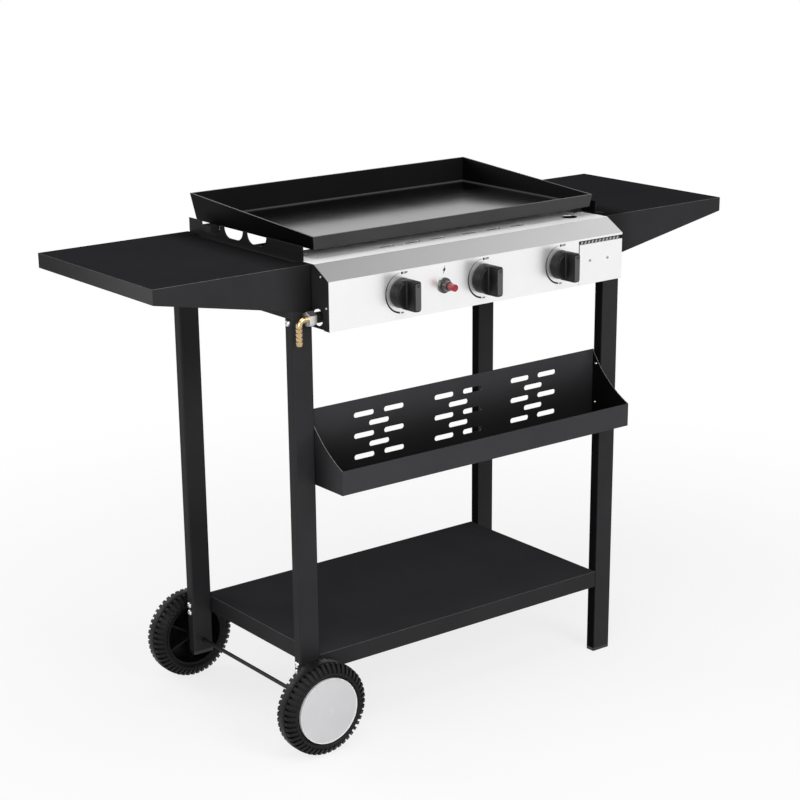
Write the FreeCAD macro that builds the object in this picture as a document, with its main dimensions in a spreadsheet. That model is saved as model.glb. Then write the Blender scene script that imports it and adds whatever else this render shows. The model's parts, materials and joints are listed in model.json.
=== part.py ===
# Gas griddle cart: a parametric FreeCAD document, in millimetres.
# X runs to the right, Y to the back and Z up; the front of the cart faces -Y.
# The origin is on the floor, under the middle of the whole cart.
import math
import os

import FreeCAD
import Part
import Sketcher

doc = FreeCAD.newDocument("griddle_cart")
sheet = doc.addObject("Spreadsheet::Sheet", "dims")


class Size:
    """A length or angle: its number and the spreadsheet expression that gives it."""

    def __init__(self, number, text):
        self.number = float(number)
        self.text = text

    def joined(self, other, sign, number, other_first=False):
        other_text = other.text if isinstance(other, Size) else repr(float(other))
        first, second = (other_text, self.text) if other_first else (self.text, other_text)
        return Size(number, f"({first} {sign} {second})")

    def __add__(self, other):
        return self.joined(other, "+", self.number + as_number(other))

    def __radd__(self, other):
        return self.joined(other, "+", as_number(other) + self.number, other_first=True)

    def __sub__(self, other):
        return self.joined(other, "-", self.number - as_number(other))

    def __rsub__(self, other):
        return self.joined(other, "-", as_number(other) - self.number, other_first=True)

    def __mul__(self, other):
        return self.joined(other, "*", self.number * as_number(other))

    def __rmul__(self, other):
        return self.joined(other, "*", as_number(other) * self.number, other_first=True)

    def __truediv__(self, other):
        return self.joined(other, "/", self.number / as_number(other))

    def __neg__(self):
        return self * -1


def as_number(value):
    return value.number if isinstance(value, Size) else float(value)


def as_text(value):
    return value.text if isinstance(value, Size) else repr(float(value))


def tangent(angle):
    return Size(math.tan(math.radians(angle.number)), f"tan({angle.text})")


def cosine(angle):
    return Size(math.cos(math.radians(angle.number)), f"cos({angle.text})")


def slope_angle(rise, run):
    degrees = math.degrees(math.atan2(rise.number, run.number))
    return Size(degrees, f"atan({rise.text} / {run.text})")


def size(name, value):
    """Write one driving dimension to the sheet and give it back as a Size."""
    row = size.rows = getattr(size, "rows", 0) + 1
    sheet.set(f"A{row}", name)
    sheet.set(f"B{row}", str(value))
    sheet.setAlias(f"B{row}", name)
    return Size(value, f"dims.{name}")


# Driving dimensions: the frame
frame_shift = size("frame_shift", 18.5)
frame_width = size("frame_width", 713)
frame_depth = size("frame_depth", 365)
table_height = size("table_height", 834)
sheet_wall = size("sheet_wall", 1.5)
leg_width = size("leg_width", 40)
leg_depth = size("leg_depth", 20)
leg_wall = size("leg_wall", 1.5)
leg_round = size("leg_round", 3)
foot_height = size("foot_height", 6)
plug_length = size("plug_length", 14)
plug_clearance = size("plug_clearance", 0.2)
shelf_height = size("shelf_height", 162.5)
shelf_flange = size("shelf_flange", 31)

# Side tables
table_length = size("table_length", 289.5)
table_gap = size("table_gap", 2)
table_edge = size("table_edge", 25)
table_root = size("table_root", 78.5)
recess_width = size("recess_width", 21.5)
recess_depth = size("recess_depth", 4)
recess_end_gap = size("recess_end_gap", 4.5)

# Wheels and axle
wheel_radius = size("wheel_radius", 82)
wheel_width = size("wheel_width", 44)
wheel_gap = size("wheel_gap", 7)
tyre_height = size("tyre_height", 23)
tyre_bead = size("tyre_bead", 5.5)
tyre_band = size("tyre_band", 14)
tyre_step = size("tyre_step", 0.8)
shoulder_drop = size("shoulder_drop", 12)
shoulder_width = size("shoulder_width", 8)
lug_count = size("lug_count", 48)
lug_gap = size("lug_gap", 4.5)
lug_height = size("lug_height", 4.5)
lug_side = size("lug_side", 2.5)
lug_reach = size("lug_reach", 16)
rim_wall = size("rim_wall", 4)
rim_inset = size("rim_inset", 4)
hub_radius = size("hub_radius", 11)
rib_wall = size("rib_wall", 4)
hubcap_gap = size("hubcap_gap", 1)
hubcap_wall = size("hubcap_wall", 2)
hubcap_lip = size("hubcap_lip", 1)
hubcap_dome = size("hubcap_dome", 2.5)
axle_radius = size("axle_radius", 3.5)
axle_clearance = size("axle_clearance", 0.05)
running_gap = size("running_gap", 0.3)
leg_drop = size("leg_drop", 20)
collar_radius = size("collar_radius", 8)

# Control panel, in stainless sheet
steel_wall = size("steel_wall", 1.2)
panel_reach = size("panel_reach", 47)
panel_drop = size("panel_drop", 103.5)
panel_return = size("panel_return", 15)
chamfer_run = size("chamfer_run", 39.5)
chamfer_rise = size("chamfer_rise", 22.5)
deck_depth = size("deck_depth", 105)
deck_vent_line = size("deck_vent_line", 41.5)
deck_vent_length = size("deck_vent_length", 32)
deck_vent_width = size("deck_vent_width", 8)
deck_vent_pitch = size("deck_vent_pitch", 53.7)
deck_vent_middle = size("deck_vent_middle", 87.7)
drain_radius = size("drain_radius", 14.5)

# Burner box
wall_setback = size("wall_setback", 29.5)
wall_rise = size("wall_rise", 24)
notch_length = size("notch_length", 57.5)
notch_width = size("notch_width", 36)
notch_pitch = size("notch_pitch", 70)
notch_middle = size("notch_middle", 42.5)
rear_bar = size("rear_bar", 15)
rear_vent_length = size("rear_vent_length", 175)
rear_vent_width = size("rear_vent_width", 27)
rear_vent_pitch = size("rear_vent_pitch", 195)

# Griddle pan
pan_lift = size("pan_lift", 16.5)
pan_width = size("pan_width", 595)
pan_depth = size("pan_depth", 352)
pan_front_rise = size("pan_front_rise", 21.5)
pan_back_rise = size("pan_back_rise", 46.5)
pan_plate = size("pan_plate", 3)
pan_flare = size("pan_flare", 9)
pan_setback = size("pan_setback", 18.5)
spout_radius = size("spout_radius", 8)
spout_wall = size("spout_wall", 2)
spout_length = size("spout_length", 2.5)
pin_radius = size("pin_radius", 5)
pin_length = size("pin_length", 8)
bracket_length = size("bracket_length", 30)
bracket_reach = size("bracket_reach", 34)
gusset_width = size("gusset_width", 17.5)
bracket_wall = size("bracket_wall", 2)
bracket_inset = size("bracket_inset", 35)

# Burners, gas train and controls
knob_pitch = size("knob_pitch", 171.5)
knob_drop = size("knob_drop", 60)
knob_radius = size("knob_radius", 25)
knob_gap = size("knob_gap", 0.8)
knob_skirt = size("knob_skirt", 21)
knob_depth = size("knob_depth", 42.7)
knob_taper = size("knob_taper", 1.5)
knob_round = size("knob_round", 3)
grip_width = size("grip_width", 13)
grip_base = size("grip_base", 18)
grip_scoop = size("grip_scoop", 4)
grip_sweep = size("grip_sweep", 4)
grip_round = size("grip_round", 2)
stem_radius = size("stem_radius", 4)
stem_clearance = size("stem_clearance", 0.05)
stem_hole_gap = size("stem_hole_gap", 1.5)
valve_radius = size("valve_radius", 12)
valve_length = size("valve_length", 46)
valve_block = size("valve_block", 22)
nozzle_radius = size("nozzle_radius", 4)
nozzle_length = size("nozzle_length", 16)
burner_radius = size("burner_radius", 16)
burner_wall = size("burner_wall", 1.2)
burner_overlap = size("burner_overlap", 8)
burner_end_gap = size("burner_end_gap", 60)
burner_pin_radius = size("burner_pin_radius", 3)
burner_pin_rise = size("burner_pin_rise", 12)
port_length = size("port_length", 3)
port_width = size("port_width", 10)
manifold_radius = size("manifold_radius", 9)
manifold_drop = size("manifold_drop", 24)
manifold_back = size("manifold_back", 31)
igniter_side = size("igniter_side", 84)
igniter_radius = size("igniter_radius", 13)
igniter_flange = size("igniter_flange", 4)
igniter_barrel = size("igniter_barrel", 9.5)
igniter_taper = size("igniter_taper", 1.7)
igniter_bevel = size("igniter_bevel", 1.2)
igniter_reach = size("igniter_reach", 14)
igniter_depth = size("igniter_depth", 34)
button_radius = size("button_radius", 6)
button_reach = size("button_reach", 15)
button_depth = size("button_depth", 24)

# Gas inlet
inlet_hole_gap = size("inlet_hole_gap", 5)
inlet_stub = size("inlet_stub", 16)
inlet_reach = size("inlet_reach", 37)
inlet_bend = size("inlet_bend", 10)
inlet_radius = size("inlet_radius", 5.2)
nut_radius = size("nut_radius", 12.5)
nut_length = size("nut_length", 14)
barb_radius = size("barb_radius", 5.8)
barb_neck = size("barb_neck", 4.4)
barb_pitch = size("barb_pitch", 7)

# Grease drawer
drawer_width = size("drawer_width", 102.5)
drawer_gap = size("drawer_gap", 2)
drawer_lintel = size("drawer_lintel", 3.5)
finger_gap = size("finger_gap", 7)
drawer_lip = size("drawer_lip", 12)
drawer_depth = size("drawer_depth", 118)
drawer_height = size("drawer_height", 45)
guide_gap = size("guide_gap", 1)

# Front tray
tray_reach = size("tray_reach", 74.5)
tray_height = size("tray_height", 465)
tray_front_rise = size("tray_front_rise", 41)
tray_back_rise = size("tray_back_rise", 124)
tray_curve = size("tray_curve", 210)
tray_slot_length = size("tray_slot_length", 42)
tray_slot_width = size("tray_slot_width", 9)
tray_slot_step = size("tray_slot_step", 31.5)
tray_slot_pitch = size("tray_slot_pitch", 18.3)
tray_slot_low = size("tray_slot_low", 24)
tray_group_pitch = size("tray_group_pitch", 171.5)

# Places worked out from the driving dimensions
leg_out_x = frame_width / 2
leg_in_x = leg_out_x - leg_width
leg_front_y = frame_shift - frame_depth / 2
leg_back_y = frame_shift + frame_depth / 2
leg_mid_x = leg_out_x - leg_width / 2
leg_top = table_height - sheet_wall
box_in_x = leg_in_x - sheet_wall
panel_y = leg_front_y - panel_reach
panel_low = table_height - panel_drop
panel_high = table_height - chamfer_rise
deck_y = panel_y + chamfer_run
deck_back_y = deck_y + deck_depth
deck_vent_y = deck_y + deck_vent_line
box_low = panel_low + steel_wall
box_floor = box_low + sheet_wall
rear_in_y = leg_back_y - sheet_wall
wall_y = deck_y + wall_setback
pan_z = table_height + pan_lift
pan_front_y = leg_front_y + pan_setback
pan_back_y = pan_front_y + pan_depth
knob_z = table_height - knob_drop
burner_pin_z = knob_z + burner_pin_rise
drawer_left = leg_in_x - drawer_width
drain_x = leg_in_x - drawer_width / 2 - sheet_wall
axle_z = wheel_radius
pipe_y = panel_y + manifold_back
pipe_z = knob_z - manifold_drop
pipe_end_x = -(leg_in_x + inlet_stub)
RIGHT_ANGLE = Size(90, "90 deg")
chamfer_angle = slope_angle(chamfer_rise, chamfer_run)
chamfer_top_inset = steel_wall * tangent(chamfer_angle / 2)
chamfer_low_inset = steel_wall * tangent((RIGHT_ANGLE - chamfer_angle) / 2)
# How far a cutting tool runs past the faces that it cuts
CUT = 5.0
# How many of each repeated form there are
PORT_COUNT = 8
RIDGE_COUNT = 4
RIB_COUNT = 6
SLOT_ROWS = 5

# A sketch's own X and Y axes on each plane: YZ faces +X, XZ faces -Y and XY faces +Z.
TURNS = {
    "YZ": FreeCAD.Rotation(FreeCAD.Vector(0, 1, 0), FreeCAD.Vector(0, 0, 1), FreeCAD.Vector(1, 0, 0), "ZXY"),
    "XZ": FreeCAD.Rotation(FreeCAD.Vector(1, 0, 0), FreeCAD.Vector(0, 0, 1), FreeCAD.Vector(0, -1, 0), "ZXY"),
    "XY": FreeCAD.Rotation(),
}
# A cylinder's or prism's own Z axis, turned to run along X, Y or Z.
AXES = {
    "X": FreeCAD.Rotation(FreeCAD.Vector(0, 1, 0), 90),
    "Y": FreeCAD.Rotation(FreeCAD.Vector(1, 0, 0), -90),
    "Z": FreeCAD.Rotation(),
}
# A quarter ring that starts upright at its own +X side, turned so that it runs from -X to the top.
ELBOW_TURN = FreeCAD.Rotation(
    FreeCAD.Vector(-1, 0, 0), FreeCAD.Vector(0, 0, 1), FreeCAD.Vector(0, 1, 0), "ZXY")
nodes = []


def bind(thing, path, value):
    thing.setExpression(path, as_text(value))


def place(thing, x, y, z, turn=None):
    if turn is not None:
        thing.Placement = FreeCAD.Placement(FreeCAD.Vector(), turn)
    for letter, value in zip("xyz", (x, y, z)):
        bind(thing, f"Placement.Base.{letter}", value)


def box(name, x, y, z):
    """A block from three (low, high) pairs."""
    block = doc.addObject("Part::Box", name)
    for side, (low, high) in zip(("Length", "Width", "Height"), (x, y, z)):
        bind(block, side, high - low)
    place(block, x[0], y[0], z[0])
    return block


def rod(name, axis, radius, length, x, y, z):
    cylinder = doc.addObject("Part::Cylinder", name)
    bind(cylinder, "Radius", radius)
    bind(cylinder, "Height", length)
    place(cylinder, x, y, z, AXES[axis])
    return cylinder


def cut(name, base, tools):
    """The base with every tool taken away."""
    joined = tools[0] if len(tools) == 1 else fuse(f"{name}_tools", tools)
    result = doc.addObject("Part::Cut", name)
    result.Base = base
    result.Tool = joined
    return result


def fuse(name, pieces):
    result = doc.addObject("Part::MultiFuse", name)
    result.Shapes = pieces
    result.Refine = True
    return result


def sketch_on(name, plane, x, y, z, roll=0):
    """An empty sketch on a plane through a point, rolled about the Y axis by some degrees."""
    sketch = doc.addObject("Sketcher::SketchObject", name)
    roll_turn = FreeCAD.Rotation(FreeCAD.Vector(0, 1, 0), roll)
    place(sketch, x, y, z, roll_turn.multiply(TURNS[plane]))
    return sketch


def hold(sketch, kind, first, value):
    """Hold a point's distance from the sketch's origin, or a radius, to a size."""
    index = sketch.addConstraint(Sketcher.Constraint(kind, *first, as_number(value)))
    sketch.setExpression(f"Constraints[{index}]", as_text(value))


def hold_point(sketch, edge, end, u, v):
    hold(sketch, "DistanceX", (-1, 1, edge, end), u)
    hold(sketch, "DistanceY", (-1, 1, edge, end), v)


def vector(u, v):
    return FreeCAD.Vector(as_number(u), as_number(v), 0)


def outline(sketch, points, bulges=None):
    """A closed outline through the points; bulges gives an arc's radius for the edge leaving a point.

    A positive radius bulges to the left of the way the outline runs, a negative one to the right.
    """
    bulges = bulges or {}
    count = len(points)
    edges = []
    for index, (u, v) in enumerate(points):
        start = vector(u, v)
        end = vector(*points[(index + 1) % count])
        if index in bulges:
            arc = arc_between(start, end, bulges[index])
            edges.append((sketch.addGeometry(arc), *arc_ends(bulges[index])))
        else:
            edges.append((sketch.addGeometry(Part.LineSegment(start, end)), 1, 2))
    for index, (edge, start_end, far_end) in enumerate(edges):
        following, next_start, _ = edges[(index + 1) % count]
        sketch.addConstraint(Sketcher.Constraint("Coincident", edge, far_end, following, next_start))
        hold_point(sketch, edge, start_end, *points[index])
        if index in bulges:
            radius = bulges[index]
            hold(sketch, "Radius", (edge,), radius if as_number(radius) > 0 else -radius)
    return sketch


def arc_ends(radius):
    """Sketcher's arcs run anticlockwise, so one that bulges to the left starts at its far end."""
    return (1, 2) if as_number(radius) < 0 else (2, 1)


def arc_between(start, end, radius):
    reach = abs(as_number(radius))
    chord = end.sub(start)
    half = chord.Length / 2
    to_centre = math.sqrt(reach * reach - half * half)
    left = FreeCAD.Vector(-chord.y, chord.x, 0).normalize()
    side = 1 if as_number(radius) < 0 else -1
    centre = start.add(chord.multiply(0.5)).add(left.multiply(side * to_centre))
    first, last = (start, end) if side == 1 else (end, start)
    first_angle = math.atan2(first.y - centre.y, first.x - centre.x)
    last_angle = math.atan2(last.y - centre.y, last.x - centre.x)
    circle = Part.Circle(centre, FreeCAD.Vector(0, 0, 1), reach)
    return Part.ArcOfCircle(circle, first_angle, last_angle)


def slot_outline(sketch, u, v, length, width):
    """A slot with round ends, lying along the sketch's X axis."""
    radius = width / 2
    reach = (length - width) / 2
    up = FreeCAD.Vector(0, 0, 1)
    right = Part.Circle(vector(u + reach, v), up, radius.number)
    left = Part.Circle(vector(u - reach, v), up, radius.number)
    right_arc = sketch.addGeometry(Part.ArcOfCircle(right, -math.pi / 2, math.pi / 2))
    left_arc = sketch.addGeometry(Part.ArcOfCircle(left, math.pi / 2, 3 * math.pi / 2))
    top = sketch.addGeometry(Part.LineSegment(vector(u + reach, v + radius), vector(u - reach, v + radius)))
    low = sketch.addGeometry(Part.LineSegment(vector(u - reach, v - radius), vector(u + reach, v - radius)))
    for one, one_end, two, two_end in (
        (right_arc, 2, top, 1), (top, 2, left_arc, 1), (left_arc, 2, low, 1), (low, 2, right_arc, 1),
    ):
        sketch.addConstraint(Sketcher.Constraint("Tangent", one, one_end, two, two_end))
    for arc, centre in ((right_arc, u + reach), (left_arc, u - reach)):
        hold_point(sketch, arc, 3, centre, v)
        hold(sketch, "Radius", (arc,), radius)


def extrude(name, sketch, length, both_ways=False):
    solid = doc.addObject("Part::Extrusion", name)
    solid.Base = sketch
    solid.DirMode = "Normal"
    solid.Solid = True
    solid.Symmetric = both_ways
    bind(solid, "LengthFwd", length)
    return solid


def rounded_bar(name, x, y, z, radius):
    """An upright bar with rounded corners, from three (low, high) pairs."""
    (x_low, x_high), (y_low, y_high) = x, y
    section = sketch_on(f"{name}_section", "XY", 0, 0, z[0])
    outline(section, [
        (x_low + radius, y_low), (x_high - radius, y_low),
        (x_high, y_low + radius), (x_high, y_high - radius),
        (x_high - radius, y_high), (x_low + radius, y_high),
        (x_low, y_high - radius), (x_low, y_low + radius),
    ], {corner: -radius for corner in (1, 3, 5, 7)})
    return extrude(name, section, z[1] - z[0])


def turned(name, axis, x, y, z, points, bulges=None):
    """A solid of revolution about Y or Z through a point, from (along, radius) points."""
    plane, first = {"Y": ("YZ", "along"), "Z": ("XZ", "radius")}[axis]
    sketch = sketch_on(f"{name}_profile", plane, x, y, z)
    outline(sketch, points if first == "along" else [(radius, along) for along, radius in points], bulges)
    solid = doc.addObject("Part::Revolution", name)
    solid.Source = sketch
    solid.Axis = FreeCAD.Vector(0, 1, 0) if axis == "Y" else FreeCAD.Vector(0, 0, 1)
    solid.Angle = 360
    solid.Solid = True
    for letter, value in zip("xyz", (x, y, z)):
        bind(solid, f"Base.{letter}", value)
    return solid


def ordered(low, high):
    return (low, high) if as_number(low) < as_number(high) else (high, low)


def node(name, solid):
    solid.Label = name
    nodes.append(solid)
    return solid


def leg(name, side, y_low, low, axle_hole):
    """A rectangular tube leg; side is -1 for the left and 1 for the right."""
    x_low, x_high = ordered(leg_in_x * side, leg_out_x * side)
    y_high = y_low + leg_depth
    outside = rounded_bar(f"{name}_outside", (x_low, x_high), (y_low, y_high), (low, leg_top), leg_round)
    inside = rounded_bar(
        f"{name}_inside",
        (x_low + leg_wall, x_high - leg_wall),
        (y_low + leg_wall, y_high - leg_wall),
        (low - CUT, leg_top + CUT),
        leg_round - leg_wall,
    )
    tools = [inside]
    if axle_hole:
        tools.append(rod(f"{name}_axle_hole", "Y", axle_radius + plug_clearance, leg_depth + 2 * CUT,
                         leg_mid_x * side, y_low - CUT, axle_z))
    node(name, cut(f"{name}_tube", outside, tools))


def end_cap(name, side, y_low, low):
    """A plastic cap under a leg, with a plug that fills the tube's end."""
    x_low, x_high = ordered(leg_in_x * side, leg_out_x * side)
    y_high = y_low + leg_depth
    inset = leg_wall + plug_clearance
    pad = rounded_bar(f"{name}_pad", (x_low, x_high), (y_low, y_high), (low, low + foot_height), leg_round)
    plug = rounded_bar(
        f"{name}_plug",
        (x_low + inset, x_high - inset),
        (y_low + inset, y_high - inset),
        (low + foot_height, low + foot_height + plug_length),
        leg_round - leg_wall,
    )
    node(name, fuse(f"{name}_cap", [pad, plug]))


def legs_and_caps():
    rear_low_y = leg_back_y - leg_depth
    leg("leg_front_right", 1, leg_front_y, foot_height, False)
    leg("leg_rear_right", 1, rear_low_y, foot_height, False)
    leg("leg_front_left", -1, leg_front_y, axle_z - leg_drop, True)
    leg("leg_rear_left", -1, rear_low_y, axle_z - leg_drop, True)
    end_cap("foot_front_right", 1, leg_front_y, 0)
    end_cap("foot_rear_right", 1, rear_low_y, 0)
    # The plugs of the left legs end under the axle.
    end_cap("cap_front_left", -1, leg_front_y, axle_z - leg_drop - foot_height)
    end_cap("cap_rear_left", -1, rear_low_y, axle_z - leg_drop - foot_height)


def shelf():
    outside = box("shelf_outside", (-leg_in_x, leg_in_x), (leg_front_y, leg_back_y),
                  (shelf_height - shelf_flange, shelf_height))
    inside = box(
        "shelf_inside",
        (sheet_wall - leg_in_x, leg_in_x - sheet_wall),
        (leg_front_y + sheet_wall, leg_back_y - sheet_wall),
        (shelf_height - shelf_flange - CUT, shelf_height - sheet_wall),
    )
    node("shelf", cut("shelf_folded", outside, [inside]))


def side_table(name, side):
    """A folded table: its flanges deepen towards the cart, and a step runs down along its inner edge."""
    inner_x = (leg_in_x + table_gap) * side
    outer_x = (leg_in_x + table_gap + table_length) * side
    open_x = inner_x - CUT * side
    edge_x = outer_x - sheet_wall * side
    step_x = inner_x + recess_width * side
    back_y = leg_back_y + sheet_wall
    depth = frame_depth + 2 * sheet_wall
    recess_y = (leg_front_y + leg_depth + recess_end_gap, leg_back_y - leg_depth - recess_end_gap)
    recess_low = table_height - recess_depth
    body = sketch_on(f"{name}_side", "XZ", 0, back_y, 0)
    outline(body, [(inner_x, table_height - table_root), (outer_x, table_height - table_edge),
                   (outer_x, table_height), (inner_x, table_height)])
    block = extrude(f"{name}_block", body, depth)
    recess = box(f"{name}_recess", ordered(open_x, step_x), recess_y, (recess_low, table_height + CUT))
    hollow = box(f"{name}_hollow", ordered(open_x, edge_x), (leg_front_y, leg_back_y),
                 (table_height - table_root - CUT, table_height - sheet_wall))
    step = box(f"{name}_step", ordered(open_x, step_x + sheet_wall * side),
               (recess_y[0] - sheet_wall, recess_y[1] + sheet_wall), (recess_low - sheet_wall, table_height))
    inside = cut(f"{name}_inside", hollow, [step])
    node(name, cut(f"{name}_folded", block, [recess, inside]))


def side_panel(name, side):
    """A black end plate: it closes the control box, and its vented upper edge stands beside the griddle."""
    start_x = box_in_x if side > 0 else -leg_in_x
    wall_top = table_height + wall_rise
    deck_low = table_height - steel_wall
    plate = sketch_on(f"{name}_outline", "YZ", start_x, 0, 0)
    outline(plate, [
        (panel_y + steel_wall, box_low), (leg_back_y, box_low), (leg_back_y, wall_top), (wall_y, wall_top),
        (wall_y, deck_low), (deck_y + chamfer_top_inset, deck_low),
        (panel_y + steel_wall, panel_high - chamfer_low_inset),
    ])
    solid = extrude(f"{name}_plate", plate, sheet_wall)
    notches = sketch_on(f"{name}_notches", "YZ", start_x - CUT, 0, 0)
    for step in (-1, 0, 1):
        middle_y = frame_shift + notch_middle + notch_pitch * step
        slot_outline(notches, middle_y, wall_top, notch_length, notch_width)
    tools = [extrude(f"{name}_notch_cut", notches, sheet_wall + 2 * CUT)]
    if side < 0:
        tools.append(rod(f"{name}_inlet_hole", "X", manifold_radius + inlet_hole_gap, sheet_wall + 2 * CUT,
                         start_x - CUT, pipe_y, pipe_z))
    node(name, cut(f"{name}_cut", solid, tools))


def control_panel():
    """One folded stainless sheet: front, sloping fascia, deck and the wall behind it."""
    low_in = panel_low + steel_wall
    deck_low = table_height - steel_wall
    back_in = deck_back_y - steel_wall
    fold = sketch_on("panel_fold", "YZ", -leg_in_x, 0, 0)
    outline(fold, [
        (panel_y + panel_return, panel_low), (panel_y, panel_low), (panel_y, panel_high),
        (deck_y, table_height), (deck_back_y, table_height),
        (deck_back_y, low_in), (back_in, low_in), (back_in, deck_low),
        (deck_y + chamfer_top_inset, deck_low), (panel_y + steel_wall, panel_high - chamfer_low_inset),
        (panel_y + steel_wall, low_in), (panel_y + panel_return, low_in),
    ])
    solid = extrude("panel_sheet", fold, leg_in_x * 2)
    tools = []
    for side, word in ((-1, "left"), (1, "right")):
        tools.append(box(f"panel_corner_{word}", ordered(box_in_x * side, (leg_in_x + CUT) * side),
                         (wall_y, deck_back_y + CUT), (panel_low - CUT, table_height + CUT)))
    for index, step in enumerate((-1, 0, 1)):
        x = knob_pitch * step
        tools.append(rod(f"panel_stem_hole_{index}", "Y", stem_radius + stem_hole_gap, steel_wall + 2 * CUT,
                         x, panel_y - CUT, knob_z))
        tools.append(rod(f"panel_burner_hole_{index}", "Y", burner_radius + running_gap, steel_wall + 2 * CUT,
                         x, back_in - CUT, knob_z))
    tools.append(rod("panel_igniter_hole", "Y", igniter_barrel + running_gap, steel_wall + 2 * CUT,
                     -igniter_side, panel_y - CUT, knob_z))
    tools.append(rod("panel_drain_hole", "Z", drain_radius, steel_wall + 2 * CUT,
                     drain_x, deck_vent_y, deck_low - CUT))
    tools.append(box("panel_drawer_opening", (drawer_left, leg_in_x + CUT),
                     (panel_y - CUT, panel_y + panel_return + CUT),
                     (panel_low - CUT, panel_high - drawer_lintel)))
    for side, word in ((-1, "left"), (1, "right")):
        vents = sketch_on(f"deck_vents_{word}", "XY", 0, deck_vent_y, deck_low - CUT)
        for step in (-1, 0, 1):
            slot_outline(vents, deck_vent_middle * side + deck_vent_pitch * step, 0,
                         deck_vent_length, deck_vent_width)
        tools.append(extrude(f"deck_vent_cut_{word}", vents, steel_wall + 2 * CUT))
    node("control_panel", cut("control_panel_sheet", solid, tools))


def rear_panel():
    """A low rear plate with long windows; the bar above them carries the burners' rear pins."""
    bar_low = burner_pin_z - rear_bar / 2
    plate = box("rear_plate", (-box_in_x, box_in_x), (rear_in_y, leg_back_y), (box_low, bar_low + rear_bar))
    vents = sketch_on("rear_vents", "XZ", 0, leg_back_y + CUT, bar_low - rear_vent_width / 2)
    for step in (-1, 0, 1):
        slot_outline(vents, rear_vent_pitch * step, 0, rear_vent_length, rear_vent_width)
    tools = [extrude("rear_vent_cut", vents, sheet_wall + 2 * CUT)]
    for index, step in enumerate((-1, 0, 1)):
        tools.append(rod(f"rear_pin_hole_{index}", "Y", burner_pin_radius + running_gap, sheet_wall + 2 * CUT,
                         knob_pitch * step, rear_in_y - CUT, burner_pin_z))
    node("rear_panel", cut("rear_panel_sheet", plate, tools))


def floor_pan():
    plate = box("floor_sheet", (-box_in_x, box_in_x), (deck_back_y, rear_in_y), (box_low, box_floor))
    node("floor_pan", plate)


def bracket_places():
    """The four (side, middle of the bracket along Y) places that carry the griddle."""
    front = wall_y + bracket_inset + bracket_length / 2
    back = rear_in_y - bracket_inset - bracket_length / 2
    return [(side, y) for side in (-1, 1) for y in (front, back)]


def pin_x(side):
    return (box_in_x - bracket_reach / 2 - pin_radius) * side


def griddle_brackets():
    """Angle brackets on the side panels, each with a gusset and a hole for one of the griddle's pins."""
    solids = []
    for index, (side, y) in enumerate(bracket_places()):
        front = y - bracket_length / 2
        wall_x = box_in_x * side
        tip_x = (box_in_x - bracket_reach) * side
        wall_in_x = (box_in_x - bracket_wall) * side
        angle = sketch_on(f"bracket_{index}_angle", "XZ", 0, y + bracket_length / 2, 0)
        outline(angle, [
            (wall_x, table_height), (wall_x, pan_z), (tip_x, pan_z), (tip_x, pan_z - bracket_wall),
            (wall_in_x, pan_z - bracket_wall), (wall_in_x, table_height),
        ])
        bar = extrude(f"bracket_{index}_bar", angle, bracket_length)
        gusset = box(f"bracket_{index}_gusset", ordered(wall_x, (box_in_x - gusset_width) * side),
                     (front, front + bracket_wall), (table_height, pan_z))
        hole = rod(f"bracket_{index}_hole", "Z", pin_radius + running_gap, bracket_wall + 2 * CUT,
                   pin_x(side), y, pan_z - bracket_wall - CUT)
        solids.append(cut(f"bracket_{index}", fuse(f"bracket_{index}_solid", [bar, gusset]), [hole]))
    group = doc.addObject("Part::Compound", "bracket_set")
    group.Links = solids
    node("griddle_brackets", group)


def flared_block(name, inset, low, high):
    """A block whose four walls lean outwards, drawn in from the pan's outside by an inset."""
    lean = tangent(pan_flare)
    block = doc.addObject("Part::Wedge", name)
    for tag, level in (("", low), ("2", high)):
        half = pan_width / 2 + level * lean - inset
        bind(block, f"X{tag}min", -half)
        bind(block, f"X{tag}max", half)
        bind(block, f"Z{tag}min", -(pan_back_y + level * lean - inset))
        bind(block, f"Z{tag}max", -(pan_front_y - level * lean + inset))
    bind(block, "Ymin", low)
    bind(block, "Ymax", high)
    place(block, 0, 0, pan_z, FreeCAD.Rotation(FreeCAD.Vector(1, 0, 0), 90))
    return block


def griddle():
    """The cooking pan: flared walls that rise to the back, a drain spout and four locating pins."""
    lean = tangent(pan_flare)
    shell = cut("pan_shell", flared_block("pan_outside", 0, 0, pan_back_rise),
                [flared_block("pan_inside", pan_plate / cosine(pan_flare), pan_plate, pan_back_rise + CUT)])
    front_rim_y = pan_front_y - pan_front_rise * lean
    back_rim_y = pan_back_y + pan_back_rise * lean
    rim = sketch_on("pan_rim_slope", "YZ", -(pan_width / 2 + pan_back_rise), 0, pan_z)
    outline(rim, [
        (front_rim_y - pan_back_rise, pan_front_rise), (front_rim_y, pan_front_rise),
        (back_rim_y, pan_back_rise), (back_rim_y, pan_back_rise + CUT),
        (front_rim_y - pan_back_rise, pan_back_rise + CUT),
    ])
    slope = extrude("pan_rim_cut", rim, pan_width + pan_back_rise * 2)
    walls = cut("pan_walls", shell, [slope])
    spout = rod("pan_spout", "Z", spout_radius + spout_wall, spout_length + pan_plate / 2,
                drain_x, deck_vent_y, pan_z - spout_length)
    pins = []
    for index, (side, y) in enumerate(bracket_places()):
        pins.append(rod(f"pan_pin_{index}", "Z", pin_radius, pin_length + pan_plate / 2,
                        pin_x(side), y, pan_z - pin_length))
    body = fuse("pan_body", [walls, spout] + pins)
    bore = rod("pan_spout_bore", "Z", spout_radius, spout_length + pan_plate + 2 * CUT,
               drain_x, deck_vent_y, pan_z - spout_length - CUT)
    node("griddle", cut("griddle_pan", body, [bore]))


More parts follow.
